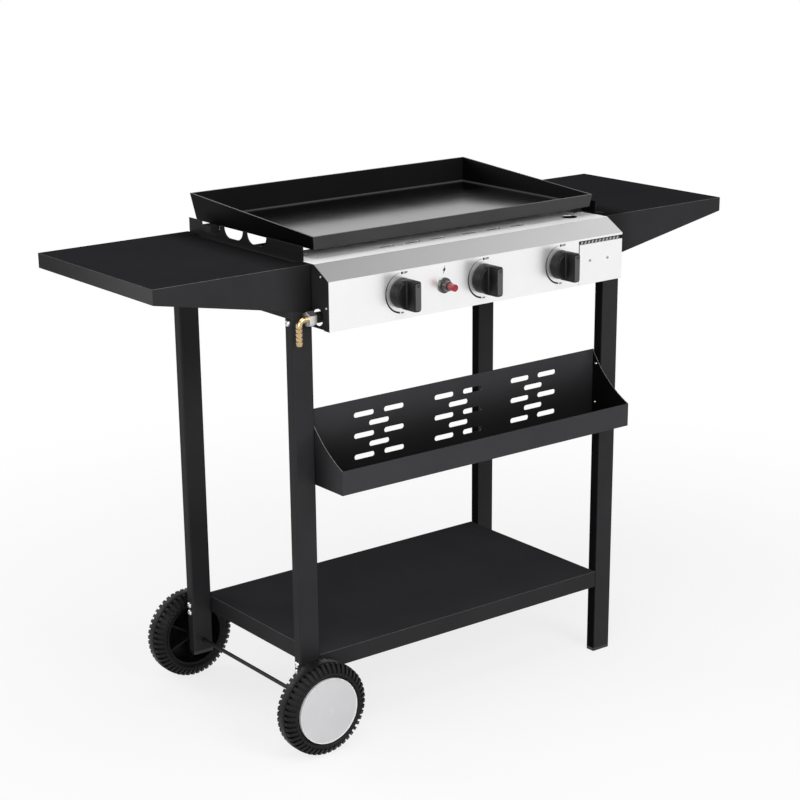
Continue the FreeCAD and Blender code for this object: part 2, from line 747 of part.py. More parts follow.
def burner(word, x):
    """A tube burner: open at the valve, closed at the back, with ports along both sides."""
    front_y = panel_y + steel_wall + valve_length + nozzle_length - burner_overlap
    back_y = rear_in_y - burner_end_gap
    length = back_y - front_y
    outside = rod(f"burner_{word}_outside", "Y", burner_radius, length, x, front_y, knob_z)
    pin = rod(f"burner_{word}_pin", "Y", burner_pin_radius, burner_end_gap + sheet_wall + burner_wall,
              x, back_y - burner_wall, burner_pin_z)
    inside = rod(f"burner_{word}_inside", "Y", burner_radius - burner_wall, length - burner_wall + CUT,
                 x, front_y - CUT, knob_z)
    tube = cut(f"burner_{word}_tube", outside, [inside])
    ports = []
    first_y = deck_back_y + burner_radius
    step = (back_y - burner_radius - first_y) / (PORT_COUNT - 1)
    for index in range(PORT_COUNT):
        middle_y = first_y + step * index
        ports.append(box(f"burner_{word}_port_{index}", (x - burner_radius - CUT, x + burner_radius + CUT),
                         (middle_y - port_length / 2, middle_y + port_length / 2),
                         (knob_z - port_width / 2, knob_z + port_width / 2)))
    ported = cut(f"burner_{word}_ported", tube, ports)
    node(f"burner_{word}", fuse(f"burner_{word}_body", [ported, pin]))


def valve(word, x):
    """A gas valve on the manifold: its front face is against the panel and its nozzle is in the burner."""
    front_y = panel_y + steel_wall
    barrel = rod(f"valve_{word}_barrel", "Y", valve_radius, valve_length, x, front_y, knob_z)
    block = box(f"valve_{word}_block", (x - valve_block / 2, x + valve_block / 2),
                (pipe_y - valve_block / 2, pipe_y + valve_block / 2), (pipe_z, knob_z))
    nozzle = rod(f"valve_{word}_nozzle", "Y", nozzle_radius, nozzle_length, x, front_y + valve_length, knob_z)
    body = fuse(f"valve_{word}_solid", [barrel, block, nozzle])
    bore = rod(f"valve_{word}_bore", "Y", stem_radius + stem_clearance, valve_length / 2 + CUT,
               x, front_y - CUT, knob_z)
    saddle = rod(f"valve_{word}_saddle", "X", manifold_radius + stem_clearance, valve_block + 2 * CUT,
                 x - valve_block / 2 - CUT, pipe_y, pipe_z)
    node(f"valve_{word}", cut(f"valve_{word}_body", body, [bore, saddle]))


def knob(word, x):
    """A round knob with a scooped bar grip across it, and the valve stem that it turns."""
    back_y = panel_y - knob_gap
    shoulder = knob_radius - knob_taper
    skirt = turned(f"knob_{word}_skirt", "Y", x, back_y, knob_z, [
        (0, 0), (0, knob_radius), (grip_round - knob_skirt, shoulder),
        (-knob_skirt, shoulder - grip_round), (-knob_skirt, 0),
    ], {2: grip_round})
    half = grip_width / 2
    base = grip_base / 2
    neck = -(knob_skirt + grip_scoop)
    section = sketch_on(f"knob_{word}_section", "XY", x, back_y, knob_z - knob_radius)
    outline(section, [
        (-base, -knob_skirt / 2), (-base, -knob_skirt), (-half, neck), (-half, grip_round - knob_depth),
        (grip_round - half, -knob_depth), (half - grip_round, -knob_depth), (half, grip_round - knob_depth),
        (half, neck), (base, -knob_skirt), (base, -knob_skirt / 2),
    ], {1: grip_sweep, 3: -grip_round, 5: -grip_round, 7: grip_sweep})
    bar = extrude(f"knob_{word}_bar", section, knob_radius * 2)
    limit = turned(f"knob_{word}_limit", "Y", x, back_y, knob_z, [
        (0, 0), (0, knob_radius), (knob_round - knob_depth, knob_radius),
        (-knob_depth, knob_radius - knob_round), (-knob_depth, 0),
    ], {2: knob_round})
    grip = doc.addObject("Part::Common", f"knob_{word}_grip")
    grip.Base = bar
    grip.Tool = limit
    body = fuse(f"knob_{word}_solid", [skirt, grip])
    socket = rod(f"knob_{word}_socket", "Y", stem_radius + stem_clearance, knob_depth / 2 + CUT,
                 x, back_y - knob_depth / 2, knob_z)
    node(f"knob_{word}", cut(f"knob_{word}_body", body, [socket]))
    stem_back = panel_y + steel_wall + valve_length / 2 - running_gap
    stem_front = back_y - knob_depth / 2 + running_gap
    stem_length = stem_back - stem_front
    node(f"stem_{word}", rod(f"stem_{word}_rod", "Y", stem_radius, stem_length, x, stem_front, knob_z))


def burners_and_controls():
    for word, step in (("left", -1), ("middle", 0), ("right", 1)):
        x = knob_pitch * step
        burner(word, x)
        valve(word, x)
        knob(word, x)


def manifold():
    """The gas pipe behind the panel, open at the inlet and closed at the far end."""
    length = knob_pitch + valve_block - pipe_end_x
    pipe = rod("manifold_outside", "X", manifold_radius, length, pipe_end_x, pipe_y, pipe_z)
    hollow = rod("manifold_inside", "X", manifold_radius - burner_wall, length - burner_wall + CUT,
                 pipe_end_x - CUT, pipe_y, pipe_z)
    node("manifold", cut("manifold_pipe", pipe, [hollow]))


def gas_inlet():
    """A hexagon nut on the manifold's end, and the brass elbow whose ridged hose tail points down."""
    tail_x = -(leg_in_x + inlet_reach)
    bend_x = tail_x + inlet_bend
    nut_x = pipe_end_x - nut_length / 2
    nut = doc.addObject("Part::Prism", "nut_hexagon")
    nut.Polygon = 6
    bind(nut, "Circumradius", nut_radius)
    bind(nut, "Height", nut_length)
    place(nut, nut_x, pipe_y, pipe_z, AXES["X"])
    seat = rod("nut_seat", "X", manifold_radius + stem_clearance, nut_length / 2 + CUT,
               pipe_end_x, pipe_y, pipe_z)
    hole = rod("nut_hole", "X", inlet_radius + stem_clearance, nut_length, nut_x - CUT, pipe_y, pipe_z)
    node("inlet_nut", cut("nut_body", nut, [seat, hole]))
    arm = rod("inlet_arm", "X", inlet_radius, pipe_end_x - bend_x, bend_x, pipe_y, pipe_z)
    elbow = doc.addObject("Part::Torus", "inlet_elbow")
    bind(elbow, "Radius1", inlet_bend)
    bind(elbow, "Radius2", inlet_radius)
    elbow.Angle3 = 90
    place(elbow, bend_x, pipe_y, pipe_z - inlet_bend, ELBOW_TURN)
    ridges = []
    for index in range(RIDGE_COUNT):
        ridge_top = -barb_pitch * (index + 0.5)
        ridges += [(ridge_top, barb_neck), (ridge_top, barb_radius)]
    tip = -barb_pitch * (RIDGE_COUNT + 0.5)
    tail = turned("inlet_tail", "Z", tail_x, pipe_y, pipe_z - inlet_bend, [
        (0, 0), (0, inlet_radius), *ridges, (tip, barb_neck), (tip, 0),
    ])
    node("gas_inlet", fuse("inlet_solid", [arm, elbow, tail]))


def igniter():
    """The spark igniter: a fixed barrel with a flange on the panel, and its push button."""
    x = -igniter_side
    front_y = panel_y - igniter_reach
    barrel = turned("igniter_barrel_solid", "Y", x, panel_y, knob_z, [
        (steel_wall + igniter_depth, 0), (-igniter_reach, 0),
        (-igniter_reach, igniter_barrel - igniter_taper),
        (-igniter_flange, igniter_barrel), (-igniter_flange, igniter_radius - igniter_bevel),
        (igniter_bevel - igniter_flange, igniter_radius), (0, igniter_radius), (0, igniter_barrel),
        (steel_wall + igniter_depth, igniter_barrel),
    ])
    bore = rod("igniter_bore", "Y", button_radius + stem_clearance, igniter_reach + button_depth + CUT,
               x, front_y - CUT, knob_z)
    node("igniter", cut("igniter_housing", barrel, [bore]))
    button_length = button_reach + igniter_reach + button_depth / 2
    button_front = front_y - button_reach
    node("igniter_button", rod("button_rod", "Y", button_radius, button_length, x, button_front, knob_z))


def grease_drawer():
    """A pull-out drawer under the drain hole, in a channel that hangs from the deck."""
    front_high = panel_high - drawer_lintel - finger_gap
    face_back = panel_y + steel_wall
    guide_floor = box_floor + guide_gap
    low = guide_floor + sheet_wall + running_gap
    guide_left = drawer_left + drawer_gap
    plate = box("drawer_face", (guide_left, leg_in_x), (panel_y, face_back), (panel_low, front_high))
    lip = box("drawer_lip_fold", (guide_left + guide_gap, box_in_x - guide_gap),
              (panel_y, face_back + drawer_lip), (front_high - steel_wall, front_high))
    node("drawer_front", fuse("drawer_front_sheet", [plate, lip]))
    tray_x = (guide_left + sheet_wall + guide_gap, box_in_x - sheet_wall - guide_gap)
    tray_y = (face_back, face_back + drawer_depth)
    tray = box("drawer_tray_outside", tray_x, tray_y, (low, low + drawer_height))
    hollow = box(
        "drawer_tray_inside",
        (tray_x[0] + sheet_wall, tray_x[1] - sheet_wall),
        (tray_y[0] + sheet_wall, tray_y[1] - sheet_wall),
        (low + sheet_wall, low + drawer_height + CUT),
    )
    node("drawer_tray", cut("drawer_tray_folded", tray, [hollow]))
    deck_low = table_height - steel_wall
    channel = sketch_on("drawer_channel_fold", "XZ", 0, deck_back_y - steel_wall, 0)
    outline(channel, [
        (guide_left, guide_floor), (box_in_x, guide_floor),
        (box_in_x, deck_low), (box_in_x - sheet_wall, deck_low),
        (box_in_x - sheet_wall, guide_floor + sheet_wall),
        (guide_left + sheet_wall, guide_floor + sheet_wall),
        (guide_left + sheet_wall, deck_low), (guide_left, deck_low),
    ])
    node("drawer_guide", extrude("drawer_channel", channel, deck_depth - steel_wall - chamfer_top_inset))


def front_tray():
    """The slotted condiment tray between the front legs."""
    front_y = leg_front_y - tray_reach
    back_y = leg_front_y + leg_depth
    low_in = tray_height + sheet_wall
    fold = sketch_on("tray_fold", "YZ", -leg_in_x, 0, 0)
    outline(fold, [
        (front_y, tray_height), (back_y, tray_height), (back_y, tray_height + tray_back_rise),
        (back_y - sheet_wall, tray_height + tray_back_rise), (back_y - sheet_wall, low_in),
        (front_y + sheet_wall, low_in), (front_y + sheet_wall, tray_height + tray_front_rise),
        (front_y, tray_height + tray_front_rise),
    ])
    pieces = [extrude("tray_sheet", fold, leg_in_x * 2)]
    for word, start_x in (("left", -leg_in_x), ("right", box_in_x)):
        cheek = sketch_on(f"tray_cheek_{word}", "YZ", start_x, 0, 0)
        outline(cheek, [
            (front_y, tray_height), (back_y, tray_height), (back_y, tray_height + tray_back_rise),
            (front_y, tray_height + tray_front_rise),
        ], {2: tray_curve})
        pieces.append(extrude(f"tray_cheek_plate_{word}", cheek, sheet_wall))
    tools = []
    for index, step in enumerate((-1, 0, 1)):
        group = sketch_on(f"tray_slots_{index}", "XZ", tray_group_pitch * step, back_y + CUT,
                          tray_height + tray_slot_low)
        for row in range(SLOT_ROWS):
            height = tray_slot_pitch * row
            columns = (-1, 1) if row % 2 == 0 else (0,)
            for column in columns:
                slot_outline(group, tray_slot_step * column, height, tray_slot_length, tray_slot_width)
        tools.append(extrude(f"tray_slot_cut_{index}", group, sheet_wall + 2 * CUT))
    node("front_tray", cut("front_tray_sheet", fuse("tray_body", pieces), tools))


def body_sketch(body, name):
    """An empty sketch on the YZ plane of a body, so that it moves with the body."""
    sketch = body.newObject("Sketcher::SketchObject", name)
    plane = next(part for part in body.Origin.OriginFeatures if part.Role == "YZ_Plane")
    sketch.AttachmentSupport = [(plane, "")]
    sketch.MapMode = "FlatFace"
    return sketch


def tyre(word, side, inner_y):
    """A tyre with a smooth middle band; notches patterned around both shoulders leave the tread's lugs."""
    seat = wheel_radius - tyre_height
    tread = wheel_radius - tyre_step
    sidewall = wheel_radius - shoulder_drop
    body = doc.addObject("PartDesign::Body", f"tyre_{word}_body")
    place(body, -leg_mid_x, inner_y, axle_z)

    def across(points, mirrored):
        """Points from the wheel's inner face outwards, or the same from its outer face inwards."""
        return [((wheel_width - along if mirrored else along) * side, radius) for along, radius in points]

    band_edge = (wheel_width - tyre_band) / 2
    half = [(rim_inset, seat), (0, seat + tyre_bead), (0, sidewall), (shoulder_width, tread),
            (band_edge, tread), (band_edge, wheel_radius)]
    profile = outline(body_sketch(body, f"tyre_{word}_profile"),
                      across(half, False) + across(half, True)[::-1])
    ring = body.newObject("PartDesign::Revolution", f"tyre_{word}_ring")
    ring.Profile = profile
    ring.ReferenceAxis = (profile, ["H_Axis"])
    ring.Angle = 360
    foot = wheel_radius - lug_reach
    notch = [(-CUT, foot), (0, foot), (lug_side, foot + lug_side), (lug_side, sidewall),
             (shoulder_width + lug_side, wheel_radius - lug_height), (band_edge, wheel_radius - lug_height),
             (band_edge, wheel_radius + CUT), (-CUT, wheel_radius + CUT)]
    notches = body_sketch(body, f"tyre_{word}_notches")
    outline(notches, across(notch, False))
    outline(notches, across(notch, True))
    pocket = body.newObject("PartDesign::Pocket", f"tyre_{word}_notch_cut")
    pocket.Profile = notches
    pocket.SideType = "Symmetric"
    bind(pocket, "Length", lug_gap)
    tread_ring = body.newObject("PartDesign::PolarPattern", f"tyre_{word}_tread")
    tread_ring.Originals = [pocket]
    tread_ring.Axis = (profile, ["H_Axis"])
    tread_ring.Angle = 360
    bind(tread_ring, "Occurrences", lug_count)
    body.Tip = tread_ring
    node(f"tyre_{word}", body)


def rim(word, side, inner_y):
    """A moulded rim, open towards the leg, with ribs from the hub to its wall."""
    x = -leg_mid_x
    seat = wheel_radius - tyre_height
    rim_in = seat - rim_wall
    bore = axle_radius + axle_clearance
    outer = (wheel_width - rim_inset) * side
    web = outer - rim_wall * side
    overlap = rim_wall / 2
    disc = turned(f"rim_{word}_disc", "Y", x, inner_y, axle_z, [
        (0, bore), (0, hub_radius), (web, hub_radius), (web, rim_in), (rim_inset * side, rim_in),
        (rim_inset * side, seat), (outer, seat), (outer, bore),
    ])
    ribs = []
    for index in range(RIB_COUNT):
        rib = sketch_on(f"rim_{word}_rib_{index}", "YZ", x, inner_y, axle_z, 360.0 / RIB_COUNT * index)
        outline(rib, [
            (rim_inset * 2 * side, hub_radius - overlap), (web + overlap * side, hub_radius - overlap),
            (web + overlap * side, rim_in + overlap), (web / 2, rim_in + overlap),
        ])
        ribs.append(extrude(f"rim_{word}_rib_bar_{index}", rib, rib_wall, both_ways=True))
    node(f"rim_{word}", fuse(f"rim_{word}_body", [disc] + ribs))


def dome_radius(reach, rise):
    """The radius of a shallow dome that rises over a round base."""
    return (reach * reach + rise * rise) / (rise * 2)


def hubcap(word, side, inner_y):
    """A shallow dome with a raised lip that closes the wheel's outer side."""
    radius = wheel_radius - tyre_height - hubcap_gap
    inner = radius - hubcap_wall
    outer = radius - hubcap_lip * 2
    foot = (wheel_width - rim_inset) * side
    face = wheel_width * side
    lip = face + hubcap_lip * side
    dome = face + hubcap_dome * side
    wall = hubcap_wall * side
    node(f"hubcap_{word}", turned(f"hubcap_{word}_dish", "Y", -leg_mid_x, inner_y, axle_z, [
        (dome - wall, 0), (face - wall, inner), (foot, inner), (foot, radius),
        (lip, radius), (lip, radius - hubcap_lip), (face, outer), (dome, 0),
    ], {0: dome_radius(inner, hubcap_dome) * -side, 6: dome_radius(outer, hubcap_dome) * side}))


def wheels_and_axle():
    for word, side, leg_face_y in (("front", -1, leg_front_y), ("rear", 1, leg_back_y)):
        inner_y = leg_face_y + wheel_gap * side
        tyre(word, side, inner_y)
        rim(word, side, inner_y)
        hubcap(word, side, inner_y)
    x = -leg_mid_x
    reach = wheel_gap + wheel_width - rim_inset - running_gap
    node("axle", rod("axle_rod", "Y", axle_radius, frame_depth + reach * 2, x, leg_front_y - reach, axle_z))
    for word, start_y in (("front", leg_front_y - wheel_gap + running_gap), ("rear", leg_back_y)):
        sleeve = rod(f"spacer_{word}_outside", "Y", collar_radius, wheel_gap - running_gap,
                     x, start_y, axle_z)
        hole = rod(f"spacer_{word}_inside", "Y", axle_radius + axle_clearance, wheel_gap + 2 * CUT,
                   x, start_y - CUT, axle_z)
        node(f"spacer_{word}", cut(f"spacer_{word}_sleeve", sleeve, [hole]))


def check_and_write():
    """Stop on any failed object, then write each node's solids."""
    doc.recompute()
    for thing in doc.Objects:
        if "Invalid" in thing.State or "Error" in thing.State:
            raise RuntimeError(f"{thing.Name} failed to build: {thing.State}")
    for thing in nodes:
        if thing.Shape.isNull() or not thing.Shape.isValid() or not thing.Shape.Solids:
            raise RuntimeError(f"{thing.Label} has no valid solid")
    os.makedirs("parts", exist_ok=True)
    for thing in nodes:
        thing.Shape.exportStep(f"parts/{thing.Label}.step")


def build():
    legs_and_caps()
    shelf()
    side_table("table_left", -1)
    side_table("table_right", 1)
    side_panel("side_panel_left", -1)
    side_panel("side_panel_right", 1)
    control_panel()
    rear_panel()
    floor_pan()
    griddle_brackets()
    griddle()
    burners_and_controls()
    manifold()
    gas_inlet()
    igniter()
    grease_drawer()
    front_tray()
    wheels_and_axle()
    check_and_write()


build()
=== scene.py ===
"""Looks of the gas griddle cart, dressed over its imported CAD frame. Metres, +Z up, front towards -Y."""

import json
import math

import bmesh
import bpy
from mathutils import Matrix, Vector


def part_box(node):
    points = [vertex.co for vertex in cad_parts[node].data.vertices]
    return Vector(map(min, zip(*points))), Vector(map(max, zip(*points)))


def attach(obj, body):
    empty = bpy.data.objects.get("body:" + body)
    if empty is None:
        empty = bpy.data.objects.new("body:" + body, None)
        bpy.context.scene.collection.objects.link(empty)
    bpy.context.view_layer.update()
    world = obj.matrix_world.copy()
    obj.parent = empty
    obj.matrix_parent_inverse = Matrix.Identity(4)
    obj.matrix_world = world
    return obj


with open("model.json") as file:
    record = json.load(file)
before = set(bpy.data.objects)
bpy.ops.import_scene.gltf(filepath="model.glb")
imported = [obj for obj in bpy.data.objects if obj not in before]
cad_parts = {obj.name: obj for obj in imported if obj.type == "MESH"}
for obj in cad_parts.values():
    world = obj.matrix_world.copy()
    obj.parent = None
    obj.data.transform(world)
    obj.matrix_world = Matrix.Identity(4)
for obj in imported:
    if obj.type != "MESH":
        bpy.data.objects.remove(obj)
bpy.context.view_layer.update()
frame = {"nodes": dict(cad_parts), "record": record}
MM = 0.001
# One material for each slot of the record; the pieces made here share them.
MATERIALS = {}
# The griddle's floor above the tips of its pins.
GRIDDLE_FLOOR_LIFT = 11 * MM
# The front of the control panel, and of the knobs' grips.
PANEL_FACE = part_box("control_panel")[0].y
KNOB_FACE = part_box("knob_middle")[0].y

# Heads of screws and bolts: radius, height and the socket's radius, in millimetres.
LEG_BOLT = (5.5, 3.8, 2.4)
TRAY_SCREW = (2.8, 1.6, 1.2)
END_PLATE_SCREW = (2.0, 1.2, 0.9)
DRAWER_SCREW = (2.6, 1.5, 1.1)
REAR_SCREW = (3.0, 1.7, 1.3)
# Where they stand, in millimetres.
LEG_BOLT_HEIGHTS = (137.5, 151.5, 742.0)
TRAY_SCREWS_YZ = ((-154.0, 491.5), (-154.0, 563.7))
TRAY_WALL = 1.5
END_PLATE_SCREWS_YZ = ((-189.5, 816.5), (-203.5, 768.0))
DRAWER_SCREWS_XZ = ((240.2, 771.8), (281.6, 771.8))
REAR_SCREWS_XZ = ((-306.0, 742.0), (-306.0, 787.0), (306.0, 742.0), (306.0, 787.0))

# How a shape made on Z = 0 is turned to face a side.
FACING = {
    "-X": Matrix.Rotation(math.radians(-90), 4, "Y"),
    "+X": Matrix.Rotation(math.radians(90), 4, "Y"),
    "-Y": Matrix.Rotation(math.radians(90), 4, "X"),
    "+Y": Matrix.Rotation(math.radians(-90), 4, "X"),
}

# Slight violet casts of the black finishes, in their dark and pale patches.
COAT_DARK, COAT_PALE = (1.0, 0.95, 1.04), (1.0, 0.96, 1.04)
PLASTIC_DARK, PLASTIC_PALE = (1.0, 0.96, 1.04), (1.0, 0.97, 1.05)
# The coat where it gets little light, and the gloss shared by every coated piece.
SHADED_COAT = 0.004
COAT_GLOSS = {"Specular IOR Level": 0.0, "Coat Roughness": 0.4}

# The photograph's camera: where it stands, how it is turned in degrees, and its lens, in millimetres.
CAMERA_PLACE = Vector((-2.0281, -2.6261, 1.4526))
CAMERA_YAW = 36.10
CAMERA_PITCH = 18.48
CAMERA_ROLL = -0.95
CAMERA_LENS = 86.42
CAMERA_SENSOR = 36.0
CAMERA_SHIFT = (0.0531, 0.1158)


class Value:
    """A shader socket that can be used in plain arithmetic."""

    def __init__(self, graph, socket):
        self.graph = graph
        self.socket = socket

    def math(self, operation, *inputs):
        return self.graph.add("ShaderNodeMath", inputs, operation=operation)

    def __add__(self, other):
        return self.math("ADD", self, other)

    def __radd__(self, other):
        return self.math("ADD", other, self)

    def __sub__(self, other):
        return self.math("SUBTRACT", self, other)

    def __rsub__(self, other):
        return self.math("SUBTRACT", other, self)

    def __mul__(self, other):
        return self.math("MULTIPLY", self, other)

    def root(self):
        return self.math("POWER", self, 0.5)

    def size(self):
        """The value without its sign."""
        return self.math("ABSOLUTE", self)

    def low(self, other):
        return self.math("MINIMUM", self, other)

    def high(self, other):
        return self.math("MAXIMUM", self, other)

    def ramp(self, start, end):
        """0 below start and 1 above end, with a smooth rise between; start may be the larger."""
        return self.graph.add("ShaderNodeMapRange", {"Value": self, "From Min": start, "From Max": end},
                              interpolation_type="SMOOTHSTEP")


class Graph:
    """A node tree that nodes are added to by one method."""

    def __init__(self, tree):
        self.tree = tree
        tree.nodes.clear()

    def add(self, kind, inputs=(), output=0, **settings):
        """A new node, its inputs linked or set by name or by place; one of its outputs comes back."""
        made = self.tree.nodes.new(kind)
        for name, value in settings.items():
            setattr(made, name, value)
        pairs = inputs.items() if isinstance(inputs, dict) else enumerate(inputs)
        for key, value in pairs:
            if isinstance(value, Value):
                self.tree.links.new(value.socket, made.inputs[key])
            else:
                made.inputs[key].default_value = value
        return Value(self, made.outputs[output]) if made.outputs else None

    def place(self):
        """The point's X, Y and Z in the row frame, and the three as one vector."""
        point = self.add("ShaderNodeTexCoord", output="Object")
        split = [self.add("ShaderNodeSeparateXYZ", [point], output=letter) for letter in "XYZ"]
        return (*split, point)

    def facing(self):
        """X, Y and Z of the surface's own direction."""
        normal = self.add("ShaderNodeTexCoord", output="Normal")
        return [self.add("ShaderNodeSeparateXYZ", [normal], output=letter) for letter in "XYZ"]

    def stretched(self, point, x, y, z):
        """A point with its three parts scaled, for a pattern that runs in lines."""
        return self.add("ShaderNodeVectorMath", [point, (x, y, z)], operation="MULTIPLY")

    def noise(self, point, scale, detail=2.0, roughness=0.5):
        """A cloudy value about 0.5."""
        return self.add("ShaderNodeTexNoise",
                        {"Vector": point, "Scale": scale, "Detail": detail, "Roughness": roughness})

    def blend(self, factor, first, second):
        """Two colours mixed by a factor."""
        return self.add("ShaderNodeMix", {0: factor, 6: first, 7: second}, output=2, data_type="RGBA")

    def bump(self, height, depth, strength):
        """The surface's direction over small hills of a depth in metres."""
        return self.add("ShaderNodeBump", {"Height": height, "Distance": depth, "Strength": strength})


def grey(level, tint=(1.0, 1.0, 1.0)):
    """A colour of one brightness, with a slight tint."""
    return tuple(level * part for part in tint) + (1.0,)


def surface(name, build, constants):
    """A material on one Principled shader: build gives its varying inputs, constants its fixed ones."""
    material = bpy.data.materials.new(name)
    material.use_nodes = True
    graph = Graph(material.node_tree)
    shader = graph.add("ShaderNodeBsdfPrincipled", {**constants, **build(graph)})
    graph.add("ShaderNodeOutputMaterial", {"Surface": shader})
    return material


def powder_coat(graph, side_level=0.019, top_level=0.019):
    """Matt black powder coat: fine orange peel, faint clouds, a painted highlight on the folds, painted
    shade on faces turned inwards, a sheen on upright faces.
    """
    x, _, _, point = graph.place()
    across, _, up = graph.facing()
    upright = up.ramp(0.6, 0.2)
    # Painted shade: faces turned in towards the middle of the cart get a darker colour and less coat.
    inward = (x * across).ramp(-0.08, -0.25)
    # Painted highlight: the rounded folds between top and side are given a pale grey.
    fold_highlight = up.ramp(0.30, 0.45) * up.ramp(0.97, 0.90)
    peel = graph.noise(point, 900.0, 2.0)
    fine = graph.noise(point, 3200.0, 1.0)
    cloud = graph.noise(point, 7.0, 4.0, 0.6)
    side, top = (graph.blend(cloud, grey(level, COAT_DARK), grey(level * 1.4, COAT_PALE))
                 for level in (side_level, top_level))
    side = graph.blend(inward, side, grey(0.007))
    return {
        "Base Color": graph.blend(fold_highlight, graph.blend(upright, top, side), grey(0.16)),
        "Roughness": 0.55 + cloud * 0.08,
        "Coat Weight": upright * (0.20 + cloud * 0.1) * (1.0 - inward),
        "Normal": graph.bump(peel * 0.7 + fine * 0.3, 0.00018, 0.3),
    }


def shaded(graph, inputs, amount):
    """Painted shade: a coat darkened by an amount towards the colour of a coat in little light."""
    inputs["Base Color"] = graph.blend(amount, inputs["Base Color"], grey(SHADED_COAT))
    return inputs


def tray_coat(graph):
    """The tray's coat: painted a little lighter, as light falling on it, with painted shade down its back
    wall.
    """
    _, y, z, _ = graph.place()
    _, _, up = graph.facing()
    low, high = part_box("front_tray")
    back_wall_shade = y.ramp(low.y + 10 * MM, high.y - 10 * MM) * z.ramp(high.z, low.z + 20 * MM) * up.ramp(0.6, 0.2)
    # Painted light in the lighter levels, and painted shade down the back wall.
    return shaded(graph, powder_coat(graph, side_level=0.031, top_level=0.028), back_wall_shade * 0.75)


def table_coat(graph):
    """The side tables' coat: painted light on their ends, brighter towards the front, and painted shade
    beside the cart.
    """
    x, y, _, _ = graph.place()
    across, _, _ = graph.facing()
    low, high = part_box("table_left")
    end = across.size().ramp(0.7, 0.95)
    beside = x.size().ramp(-high.x + 80 * MM, -high.x + 8 * MM)
    # Painted light on the ends, fading to dark towards the back.
    end_light = graph.blend(y.ramp(high.y, low.y), grey(0.010), grey(0.058))
    # Painted shade beside the cart.
    inputs = shaded(graph, powder_coat(graph), beside * 0.7)
    inputs["Base Color"] = graph.blend(end, inputs["Base Color"], end_light)
    return inputs


def end_plate_coat(graph):
    """The end plates' coat, with painted shade on the wall that stands beside the griddle."""
    _, _, z, _ = graph.place()
    table_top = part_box("table_left")[1].z
    # Painted shade on the wall above the tables' top.
    wall = z.ramp(table_top - 10 * MM, table_top + 5 * MM)
    return shaded(graph, powder_coat(graph), wall * 0.7)


def shelf_coat(graph):
    """The shelf's coat, with painted light that makes its top a little lighter."""
    return powder_coat(graph, side_level=0.017, top_level=0.031)


def rod_black(graph):
    """The thin black finish of the axle and the gas pipe."""
    _, _, _, point = graph.place()
    scuff = graph.noise(point, 240.0, 4.0, 0.6)
    return {
        "Base Color": graph.blend(scuff, grey(0.004), grey(0.014)),
        "Roughness": 0.38 + scuff * 0.25,
        "Normal": graph.bump(scuff, 0.00006, 0.3),
    }


def polished_steel(graph):
    """Stainless sheet: satin front, polished fascia, a deck painted white matt in place of the steel's
    bright reflection, and painted shade on the ends, underside and rear.
    """
    _, y, _, point = graph.place()
    across, _, up = graph.facing()
    panel_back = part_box("control_panel")[1].y
    # Painted reflection: the deck is given a white matt colour that stands in for the steel's bright
    # reflection.
    deck = up.ramp(0.95, 0.99)
    slope = up.ramp(0.3, 0.6) * (1.0 - deck)
    # Painted shade: the rear, the cut ends and the underside get a dark grey colour.
    cut_end = (across * across).ramp(0.7, 0.9).high(up.ramp(-0.4, -0.8))
    painted_dark_faces = y.ramp(panel_back - 6 * MM, panel_back - 3 * MM).high(cut_end)
    lines = graph.noise(graph.stretched(point, 6.0, 1500.0, 1500.0), 1.0, 3.0, 0.6)
    haze = graph.noise(point, 16.0, 4.0, 0.6)
    bright = graph.blend(haze, grey(0.87, (1.0, 0.993, 1.0)), grey(0.91, (1.0, 0.997, 1.0)))
    return {
        "Base Color": graph.blend(painted_dark_faces, graph.blend(deck, bright, grey(0.97)), grey(0.10)),
        "Metallic": 0.85 + slope * 0.15 - deck * 0.85,
        "Roughness": 0.26 - slope * 0.07 + haze * 0.05 + lines * 0.03 + deck * 0.2,
        "Normal": graph.bump(lines, 0.00001, 0.1),
    }


def plain_steel(graph):
    """Mill-finish steel with blotches and drawn lines."""
    _, _, _, point = graph.place()
    lines = graph.noise(graph.stretched(point, 40.0, 900.0, 900.0), 1.0, 3.0)
    blotch = graph.noise(point, 45.0, 5.0, 0.65)
    return {
        "Base Color": graph.blend(blotch, grey(0.33), grey(0.55, (1.0, 0.99, 0.97))),
        "Roughness": 0.30 + blotch * 0.2,
        "Normal": graph.bump(lines, 0.00005, 0.3),
    }


def zinc_plate(graph):
    """Bright zinc plating with a slight blue and straw bloom."""
    _, _, _, point = graph.place()
    bloom = graph.noise(point, 160.0, 3.0)
    grain = graph.noise(point, 1500.0, 2.0)
    return {
        "Base Color": graph.blend(bloom, grey(0.70, (0.98, 1.0, 1.03)), grey(0.86, (1.03, 1.0, 0.95))),
        "Roughness": 0.22 + grain * 0.16,
        "Normal": graph.bump(grain, 0.00005, 0.3),
    }


def machined_brass(graph):
    """Turned brass, a little uneven in tone."""
    _, _, _, point = graph.place()
    tone = graph.noise(point, 130.0, 4.0, 0.6)
    turning = graph.noise(graph.stretched(point, 200.0, 200.0, 2600.0), 1.0, 2.0)
    return {
        "Base Color": graph.blend(tone, (0.30, 0.19, 0.08, 1.0), (0.80, 0.62, 0.36, 1.0)),
        "Roughness": 0.12 + tone * 0.14,
        "Normal": graph.bump(turning, 0.00004, 0.4),
    }


def moulded_black(graph, level=0.012):
    """Black moulded plastic with a fine spark-eroded grain."""
    _, _, _, point = graph.place()
    grain = graph.noise(point, 2400.0, 2.0)
    sheen = graph.noise(point, 70.0, 3.0)
    return {
        "Base Color": graph.blend(sheen, grey(level, PLASTIC_DARK), grey(level * 1.8, PLASTIC_PALE)),
        "Roughness": 0.32 + sheen * 0.12,
        "Normal": graph.bump(grain, 0.00008, 0.3),
    }


def deep_black(graph):
    """The wheels' and feet's moulding, a darker black."""
    return moulded_black(graph, level=0.005)


